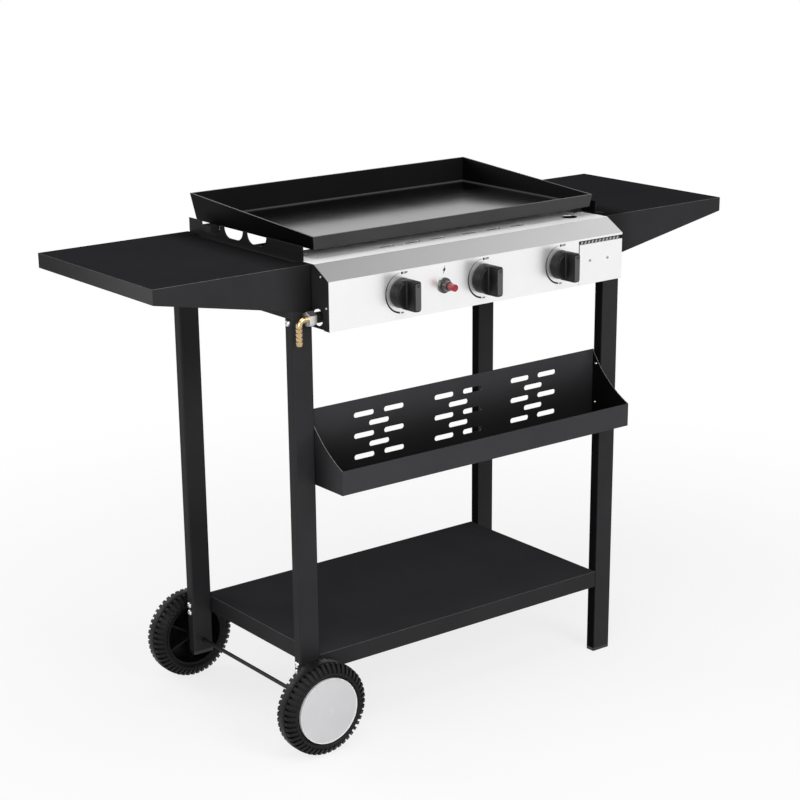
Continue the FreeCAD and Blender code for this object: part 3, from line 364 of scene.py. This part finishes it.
def knob_plastic(graph):
    """The same moulding, with painted light: a paler colour on the front of the grip."""
    _, y, _, point = graph.place()
    _, front, _ = graph.facing()
    # Painted light: the front face of the grip is given a paler colour.
    lit_front = front.ramp(-0.75, -0.95) * y.ramp(KNOB_FACE + 4 * MM, KNOB_FACE + 1 * MM)
    grain = graph.noise(point, 2400.0, 2.0)
    sheen = graph.noise(point, 70.0, 3.0)
    black = graph.blend(sheen, grey(0.004, PLASTIC_DARK), grey(0.009, PLASTIC_PALE))
    return {
        "Base Color": graph.blend(lit_front, black, grey(0.085, (1.0, 0.98, 1.02))),
        "Roughness": 0.34 + sheen * 0.12 + lit_front * 0.1,
        "Normal": graph.bump(grain, 0.00008, 0.3),
    }


def tyre_rubber(graph):
    """Black rubber, dusty and matt on the tread."""
    _, _, _, point = graph.place()
    grain = graph.noise(point, 1300.0, 3.0)
    dust = graph.noise(point, 38.0, 5.0, 0.7).ramp(0.4, 0.75)
    return {
        "Base Color": graph.blend(dust * 0.6, grey(0.005), grey(0.014, (1.03, 1.0, 0.96))),
        "Roughness": 0.46 + dust * 0.3,
        "Normal": graph.bump(grain, 0.0003, 0.5),
    }


def hubcap_plastic(graph):
    """Light grey moulded hubcap with a paler edge."""
    x, _, z, point = graph.place()
    hub_low, hub_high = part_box("hubcap_front")
    across = x - (hub_low.x + hub_high.x) / 2
    upward = z - (hub_low.z + hub_high.z) / 2
    radius = (across * across + upward * upward).root()
    rim = (hub_high.x - hub_low.x) / 2
    edge = radius.ramp(rim - 2.0 * MM, rim - 1.0 * MM)
    grain = graph.noise(point, 1600.0, 2.0)
    tone = graph.noise(point, 26.0, 3.0)
    body = graph.blend(tone, grey(0.57, (1.0, 0.985, 1.01)), grey(0.63, (1.0, 0.99, 1.01)))
    return {
        "Base Color": graph.blend(edge, body, grey(0.80)),
        "Roughness": 0.34 + tone * 0.12,
        "Normal": graph.bump(grain, 0.00004, 0.3),
    }


def griddle_finish(graph):
    """A smooth steel floor in black walls: matt and seasoned inside, enamelled in front, with painted
    highlights on the rim and the foot of the walls, and painted shade on the end walls.
    """
    x, y, z, point = graph.place()
    across, along, up = graph.facing()
    low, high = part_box("griddle")
    floor_top = low.z + GRIDDLE_FLOOR_LIFT
    flat = up.ramp(0.9, 0.98)
    floor = flat * z.ramp(floor_top + 3 * MM, floor_top + 1 * MM)
    outward = (x - (low.x + high.x) / 2) * across + (y - (low.y + high.y) / 2) * along
    outside = outward.ramp(0.0, 0.02)
    front = outside * along.ramp(-0.6, -0.95)
    end = across.size().ramp(0.6, 0.8)
    # Painted highlight at the foot of the inner walls.
    foot_highlight = z.ramp(floor_top + 2.5 * MM, floor_top + 1.2 * MM) * (1.0 - outside)
    peel = graph.noise(point, 700.0, 2.0)
    scour = graph.noise(graph.stretched(point, 25.0, 500.0, 25.0), 1.0, 4.0, 0.65)
    cloud = graph.noise(point, 8.0, 4.0, 0.6)
    inside_wall = graph.blend(cloud, grey(0.004), grey(0.008))
    outside_wall = graph.blend(cloud, grey(0.011), grey(0.017))
    # Painted shade: the end walls, inside and out, are given near-black.
    wall = graph.blend(end, graph.blend(outside, inside_wall, outside_wall), grey(0.002))
    # Painted highlight: flat rim tops and the foot of the walls are given a pale grey.
    rim_and_foot_highlight = graph.blend(flat.high(foot_highlight * 0.5), wall, grey(0.15))
    plate = graph.blend(cloud, grey(0.11), grey(0.15, (1.0, 1.0, 0.99)))
    return {
        "Base Color": graph.blend(floor, rim_and_foot_highlight, plate),
        "Metallic": floor,
        "Roughness": floor * (scour * 0.05 - 0.31) + 0.40 + cloud * 0.06,
        "Coat Weight": front * 0.85,
        "Normal": graph.bump(peel * (1.0 - floor) * 0.5 + scour * 0.12, 0.0001, 0.25),
    }


def red_button(graph):
    """Glossy red moulding, slightly uneven."""
    _, _, _, point = graph.place()
    tone = graph.noise(point, 220.0, 3.0)
    return {
        "Base Color": graph.blend(tone, (0.24, 0.003, 0.010, 1.0), (0.36, 0.007, 0.018, 1.0)),
        "Roughness": 0.16 + tone * 0.12,
    }


def dress_nodes():
    """Give every CAD node the material of its slot, and some sheets a coat of their own."""
    finishes = {
        "black_powder_coat": (powder_coat, COAT_GLOSS),
        "polished_steel": (polished_steel, {"Specular IOR Level": 0.05}),
        "plain_steel": (plain_steel, {"Metallic": 1.0}),
        "zinc_steel": (zinc_plate, {"Metallic": 1.0}),
        "black_steel": (rod_black, {"Specular IOR Level": 0.2}),
        "brass": (machined_brass, {"Metallic": 1.0}),
        "knob_plastic": (knob_plastic, {"Specular IOR Level": 0.2}),
        "foot_plastic": (deep_black, {}),
        "tyre_rubber": (tyre_rubber, {"Specular IOR Level": 0.18}),
        "rim_plastic": (deep_black, {"Specular IOR Level": 0.12}),
        "hubcap_plastic": (hubcap_plastic, {}),
        "griddle_plate": (griddle_finish, {"Specular IOR Level": 0.03, "Coat Roughness": 0.3}),
        "igniter_housing": (moulded_black, {"Coat Weight": 0.8, "Coat Roughness": 0.06}),
        "button_red": (red_button, {}),
    }
    for slot, (build, constants) in finishes.items():
        MATERIALS[slot] = surface(slot, build, constants)
    for part in frame["record"]["subparts"]:
        node = frame["nodes"][part["node"]]
        node.data.materials.clear()
        node.data.materials.append(MATERIALS[part["material_slot"]])
    for name, build in (("front_tray", tray_coat), ("shelf", shelf_coat),
                        ("table_left", table_coat), ("table_right", table_coat),
                        ("side_panel_left", end_plate_coat), ("side_panel_right", end_plate_coat)):
        frame["nodes"][name].data.materials[0] = surface(f"{name}_powder_coat", build, COAT_GLOSS)
    frame["nodes"]["manifold"].data.materials[0] = MATERIALS["black_steel"]


def circle(mesh, radius, height, segments):
    """A ring of edges around the Z axis at a height."""
    made = bmesh.ops.create_circle(mesh, cap_ends=False, radius=radius, segments=segments,
                                   matrix=Matrix.Translation((0, 0, height)))
    return list({edge for vertex in made["verts"] for edge in vertex.link_edges})


def lofted(mesh, rings):
    """Rings of edges joined one to the next, the first and the last closed."""
    for low, high in zip(rings, rings[1:]):
        bmesh.ops.bridge_loops(mesh, edges=low + high)
    for ring in (rings[0], rings[-1]):
        bmesh.ops.edgeloop_fill(mesh, edges=ring)


def socket_head(radius, height, socket):
    """A domed screw head with a six-sided socket, standing on Z = 0."""
    mesh = bmesh.new()
    dome = [(1.0, 0.0), (1.0, 0.35), (0.93, 0.68), (0.78, 0.90), (0.60, 1.0)]
    rings = [circle(mesh, radius * out, height * up, segments=24) for out, up in dome]
    rings.append(circle(mesh, socket, height, segments=6))
    rings.append(circle(mesh, socket * 0.94, height * 0.35, segments=6))
    lofted(mesh, rings)
    return mesh


def set_on(mesh, facing, place):
    """Turn a shape made on Z = 0 to face a side, and put it at a place in millimetres."""
    turn_and_move = Matrix.Translation(Vector(place) * MM) @ FACING[facing]
    bmesh.ops.transform(mesh, verts=mesh.verts, matrix=turn_and_move)
    return mesh


def gather(meshes):
    """Several shapes as one."""
    whole = bmesh.new()
    for mesh in meshes:
        part = bpy.data.meshes.new("part")
        mesh.to_mesh(part)
        mesh.free()
        whole.from_mesh(part)
        bpy.data.meshes.remove(part)
    return whole


def piece(name, mesh, body, slot):
    """A finished piece from a shape, riding on a body and taking a slot's finish."""
    bmesh.ops.recalc_face_normals(mesh, faces=mesh.faces)
    for face in mesh.faces:
        face.smooth = False
    data = bpy.data.meshes.new(name)
    mesh.to_mesh(data)
    mesh.free()
    made = bpy.data.objects.new(name, data)
    bpy.context.scene.collection.objects.link(made)
    data.materials.append(MATERIALS[slot])
    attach(made, body)


def screws(name, head, facing, places, body="cart", slot="zinc_steel"):
    """Equal screws on one side, at places in millimetres, as one piece."""
    radius, height, socket = (size * MM for size in head)
    heads = [set_on(socket_head(radius, height, socket), facing, place) for place in places]
    piece(name, gather(heads), body, slot)


def fasteners():
    """Zinc bolts through the legs, and small screws on the sheets."""
    for name in ("front_left", "rear_left", "front_right", "rear_right"):
        low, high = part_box(f"leg_{name}")
        outer, facing = (low.x, "-X") if "left" in name else (high.x, "+X")
        middle = (low.y + high.y) / 2
        places = [(outer / MM, middle / MM, z) for z in LEG_BOLT_HEIGHTS]
        screws(f"bolts_leg_{name}", LEG_BOLT, facing, places)
    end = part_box("front_tray")[1].x / MM
    for word, side, inward, outward in (("left", -1, "+X", "-X"), ("right", 1, "-X", "+X")):
        places = [((end - TRAY_WALL) * side, y, z) for y, z in TRAY_SCREWS_YZ]
        screws(f"screws_tray_{word}", TRAY_SCREW, inward, places)
        places = [(end * side, y, z) for y, z in END_PLATE_SCREWS_YZ]
        screws(f"screws_end_plate_{word}", END_PLATE_SCREW, outward, places)
    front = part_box("drawer_front")[0].y / MM
    places = [(x, front, z) for x, z in DRAWER_SCREWS_XZ]
    screws("screws_drawer", DRAWER_SCREW, "-Y", places, "drawer", "plain_steel")
    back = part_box("rear_panel")[1].y / MM
    places = [(x, back, z) for x, z in REAR_SCREWS_XZ]
    screws("screws_rear_panel", REAR_SCREW, "+Y", places, "cart", "black_steel")


def raised(mesh, height):
    """A flat shape on Z = 0, given a thickness in millimetres."""
    grown = bmesh.ops.extrude_face_region(mesh, geom=list(mesh.faces))
    lifted = [part for part in grown["geom"] if isinstance(part, bmesh.types.BMVert)]
    bmesh.ops.translate(mesh, verts=lifted, vec=(0, 0, height * MM))
    return mesh


def printed(mesh):
    """A printed mark, with the thickness of ink."""
    return raised(mesh, height=0.12)


def slanted(x, width, height, lean):
    """A flat four-sided stroke that leans to the right."""
    mesh = bmesh.new()
    corners = [(x, 0), (x + width, 0), (x + width + lean, height), (x + lean, height)]
    mesh.faces.new([mesh.verts.new((across * MM, up * MM, 0)) for across, up in corners])
    return mesh


def drawer_grip():
    """A strip with slanting ribs that stands on the drawer's lip, in the finger gap."""
    low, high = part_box("drawer_front")
    margin, setback = 3.0, 3.4
    length = (high.x - low.x) / MM - 2 * margin
    height, wall = 5.4, 0.8
    rib_start, rib_pitch, rib_width = 1.0, 8.4, 3.8
    rib_lean, rib_wall, rib_margin = 2.4, 0.5, 0.4
    place = Vector((low.x / MM + margin, low.y / MM + setback, high.z / MM))
    strip = set_on(raised(slanted(0.0, length, height, 0.0), wall), "-Y", place)
    piece("drawer_grip", strip, "drawer", "foot_plastic")
    ribs = []
    for index in range(int(length / rib_pitch)):
        rib = slanted(rib_start + index * rib_pitch, rib_width, height - 2 * rib_margin, rib_lean)
        ribs.append(set_on(raised(rib, rib_wall), "-Y", place + Vector((0, -wall, rib_margin))))
    piece("drawer_grip_ribs", gather(ribs), "drawer", "plain_steel")


def dial_arc():
    """A crescent around a knob's left half, thin at the top and thick at the lower left."""
    outer_radius, inner_radius, right_end = 33.8 * MM, 32.2 * MM, -4.5 * MM
    inner_shift = (0.5 * MM, 1.2 * MM, 0)
    mesh = bmesh.new()
    outside = circle(mesh, outer_radius, height=0.0, segments=96)
    inside = circle(mesh, inner_radius, height=0.0, segments=96)
    inner = list({vertex for edge in inside for vertex in edge.verts})
    bmesh.ops.translate(mesh, verts=inner, vec=inner_shift)
    bmesh.ops.bridge_loops(mesh, edges=outside + inside)
    everything = list(mesh.verts) + list(mesh.edges) + list(mesh.faces)
    bmesh.ops.bisect_plane(mesh, geom=everything, plane_co=(right_end, 0, 0), plane_no=(1, 0, 0),
                           clear_outer=True)
    return mesh


def dot(radius, x, y):
    """A round flat mark, in millimetres."""
    mesh = bmesh.new()
    bmesh.ops.create_circle(mesh, cap_ends=True, radius=radius * MM, segments=20,
                            matrix=Matrix.Translation((x * MM, y * MM, 0)))
    return mesh


def lettering(text, height, x, y):
    """A short word as a flat shape, its strokes thickened a little, in millimetres."""
    stroke_growth = 0.18
    curve = bpy.data.curves.new("lettering", "FONT")
    curve.body = text
    curve.size = height * MM
    curve.offset = stroke_growth * MM
    written = bpy.data.objects.new("lettering", curve)
    data = bpy.data.meshes.new_from_object(written)
    mesh = bmesh.new()
    mesh.from_mesh(data)
    bpy.data.objects.remove(written)
    bpy.data.curves.remove(curve)
    bpy.data.meshes.remove(data)
    bmesh.ops.remove_doubles(mesh, verts=mesh.verts, dist=1e-6)
    bmesh.ops.translate(mesh, verts=mesh.verts, vec=(x * MM, y * MM, 0))
    return mesh


def spark_mark():
    """A small lightning stroke."""
    mesh = bmesh.new()
    stroke = [(2.4, 7.4), (-3.4, -1.2), (-0.8, -1.2), (-2.4, -7.4), (3.4, 2.2), (1.0, 2.2)]
    mesh.faces.new([mesh.verts.new((x * MM, y * MM, 0)) for x, y in stroke])
    return mesh


def middle_of(low, high):
    """The middle of a box in X and Z, in millimetres."""
    return (low.x + high.x) / 2 / MM, (low.z + high.z) / 2 / MM


def panel_marks():
    """Dial arcs and marks around the knobs, a ring on each grip, and the igniter's mark."""
    ring_outside, ring_inside = 2.4 * MM, 1.2 * MM
    ring_rise, spark_rise = 18.0, 25.6
    face = PANEL_FACE / MM
    for word in ("left", "middle", "right"):
        x, z = middle_of(*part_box(f"knob_{word}"))
        for name, shape in (
            ("arc", dial_arc()),
            ("dot", dot(radius=2.2, x=0.4, y=32.6)),
            ("off", lettering("OFF", height=4.6, x=3.4, y=31.0)),
            ("on", lettering("ON", height=3.6, x=-2.2, y=-34.0)),
        ):
            mark = set_on(printed(shape), "-Y", (x, face, z))
            piece(f"dial_{name}_{word}", mark, "cart", "knob_plastic")
        ring = bmesh.new()
        rims = [circle(ring, radius, height=0.0, segments=24) for radius in (ring_outside, ring_inside)]
        bmesh.ops.bridge_loops(ring, edges=rims[0] + rims[1])
        mark = set_on(printed(ring), "-Y", (x, KNOB_FACE / MM, z + ring_rise))
        piece(f"knob_ring_{word}", mark, f"knob_{word}", "rim_plastic")
    x, z = middle_of(*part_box("igniter"))
    mark = set_on(printed(spark_mark()), "-Y", (x, face, z + spark_rise))
    piece("igniter_mark", mark, "cart", "knob_plastic")


def soften_edges():
    """Round the cut edges of folded sheets and moulded parts a little, by widths in millimetres."""
    merge_reach, flat_angle, edge_angle = 0.01 * MM, math.radians(0.5), math.radians(32)
    widths = {
        0.7: ("table_left", "table_right", "shelf", "front_tray"),
        0.5: ("control_panel", "drawer_front", "griddle"),
        0.4: ("side_panel_left", "side_panel_right", "rear_panel", "inlet_nut"),
        0.6: ("knob_left", "knob_middle", "knob_right", "tyre_front", "tyre_rear"),
    }
    pierced = ("control_panel", "front_tray", "side_panel_left", "side_panel_right", "rear_panel",
               "tyre_front", "tyre_rear")
    for width, names in widths.items():
        for name in names:
            node = frame["nodes"][name]
            weld = node.modifiers.new("weld", "WELD")
            weld.merge_threshold = merge_reach
            if name in pierced:
                # Flat triangles are joined first, so that none beside an opening is thinner than the bevel.
                flat = node.modifiers.new("flat_faces", "DECIMATE")
                flat.decimate_type = "DISSOLVE"
                flat.angle_limit = flat_angle
            bevel = node.modifiers.new("soft_edge", "BEVEL")
            bevel.width = width * MM
            bevel.segments = 2
            bevel.limit_method = "ANGLE"
            bevel.angle_limit = edge_angle
            bevel.harden_normals = True


def sum_of_rays(graph):
    """1 for rays that the camera, a mirror or a glass sends."""
    rays = [graph.add("ShaderNodeLightPath", output=name)
            for name in ("Is Camera Ray", "Is Glossy Ray", "Is Transmission Ray")]
    return (rays[0] + rays[1] + rays[2]).low(1.0)


def set_stage():
    """A white studio floor that keeps a soft shadow near the cart."""
    half_width, shadow_start, shadow_end, shadow_share = 20.0, 0.6, 1.9, 0.22
    sheet = bmesh.new()
    bmesh.ops.create_grid(sheet, x_segments=1, y_segments=1, size=half_width)
    data = bpy.data.meshes.new("floor")
    sheet.to_mesh(data)
    sheet.free()
    floor = bpy.data.objects.new("floor", data)
    bpy.context.scene.collection.objects.link(floor)
    material = bpy.data.materials.new("studio_floor")
    material.use_nodes = True
    graph = Graph(material.node_tree)
    plain = graph.add("ShaderNodeBsdfDiffuse", {"Color": grey(0.95)})
    white = graph.add("ShaderNodeEmission", {"Color": grey(1.0), "Strength": 1.0})
    seen = sum_of_rays(graph)
    x, y, _, _ = graph.place()
    near = (x * x + y * y).root().ramp(shadow_end, shadow_start)
    shader = graph.add("ShaderNodeMixShader", [seen * (1.0 - near * shadow_share), plain, white])
    graph.add("ShaderNodeOutputMaterial", {"Surface": shader})
    floor.data.materials.append(material)


def area_lamp(name, place, aim, width, watts):
    """A round lamp, turned towards a point."""
    light = bpy.data.lights.new(name, "AREA")
    light.shape = "DISK"
    light.size = width
    light.energy = watts
    lamp = bpy.data.objects.new(name, light)
    lamp.location = place
    lamp.rotation_euler = (Vector(aim) - Vector(place)).to_track_quat("-Z", "Y").to_euler()
    bpy.context.scene.collection.objects.link(lamp)


def set_light():
    """Soft studio light: a bright horizon that dims overhead, and four broad lamps."""
    world = bpy.data.worlds.new("studio")
    world.use_nodes = True
    graph = Graph(world.node_tree)
    direction = graph.add("ShaderNodeTexCoord", output="Generated")
    height = graph.add("ShaderNodeSeparateXYZ", [direction], output="Z")
    mirror = graph.add("ShaderNodeLightPath", output="Is Glossy Ray")
    camera = graph.add("ShaderNodeLightPath", output="Is Camera Ray")
    fill, horizon, overhead = grey(0.30), grey(1.0), grey(0.25)
    mirrored = graph.blend(height.ramp(0.60, 0.86), horizon, overhead)
    colour = graph.blend(camera, graph.blend(mirror, fill, mirrored), grey(1.0))
    background = graph.add("ShaderNodeBackground", {"Color": colour, "Strength": 1.0})
    graph.add("ShaderNodeOutputWorld", {"Surface": background})
    bpy.context.scene.world = world
    area_lamp("key_lamp", place=(-2.2, -2.2, 1.5), aim=(0.0, 0.0, 0.6), width=1.8, watts=27.0)
    area_lamp("front_lamp", place=(0.2, -3.0, 2.2), aim=(0.0, 0.0, 0.6), width=1.6, watts=42.0)
    area_lamp("top_lamp", place=(-0.8, -0.6, 3.4), aim=(0.0, 0.0, 0.5), width=2.0, watts=30.0)
    area_lamp("back_lamp", place=(-1.6, 2.8, 1.8), aim=(0.0, 0.0, 0.6), width=1.8, watts=30.0)


def set_camera():
    """The photograph's view."""
    data = bpy.data.cameras.new("camera")
    data.sensor_width = CAMERA_SENSOR
    data.lens = CAMERA_LENS
    data.shift_x, data.shift_y = CAMERA_SHIFT
    data.clip_end = 100.0
    camera = bpy.data.objects.new("camera", data)
    turn = (Matrix.Rotation(math.radians(-CAMERA_YAW), 4, "Z")
            @ Matrix.Rotation(math.radians(90.0 - CAMERA_PITCH), 4, "X")
            @ Matrix.Rotation(math.radians(CAMERA_ROLL), 4, "Z"))
    camera.matrix_world = Matrix.Translation(CAMERA_PLACE) @ turn
    bpy.context.scene.collection.objects.link(camera)
    bpy.context.scene.camera = camera


dress_nodes()
fasteners()
drawer_grip()
panel_marks()
soften_edges()
set_stage()
set_light()
set_camera()
bpy.context.scene.view_settings.view_transform = "Standard"
